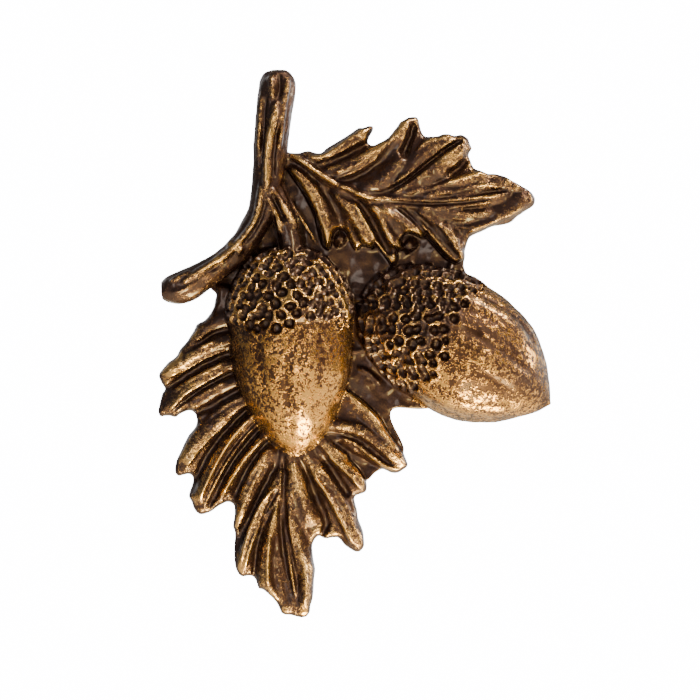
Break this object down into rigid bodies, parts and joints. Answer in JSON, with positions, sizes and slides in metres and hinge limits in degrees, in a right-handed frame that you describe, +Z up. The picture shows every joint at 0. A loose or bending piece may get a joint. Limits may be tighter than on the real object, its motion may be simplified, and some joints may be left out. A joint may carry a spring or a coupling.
{
  "type": "cabinet knob",
  "caption": "Cast cabinet knob shaped as acorns and oak leaves on a twig, with a round post behind that is tapped for its mounting screw.",
  "frame": {"origin": "on the mounting screw's axis, where the end of the post meets the door or drawer front", "axes": "+Y into the door, so the carved face looks along -Y; +Z up the door, with the twig's cut end at the top; +X to the viewer's right"},
  "size_m": [0.0455, 0.0215, 0.0636],
  "materials": {
    "antique_brass": "antiqued, dark in the recesses and rubbed bright on the high places, lacquered"
  },
  "bodies": {
    "root": {"knob_casting": "antique_brass"}
  },
  "joints": []
}
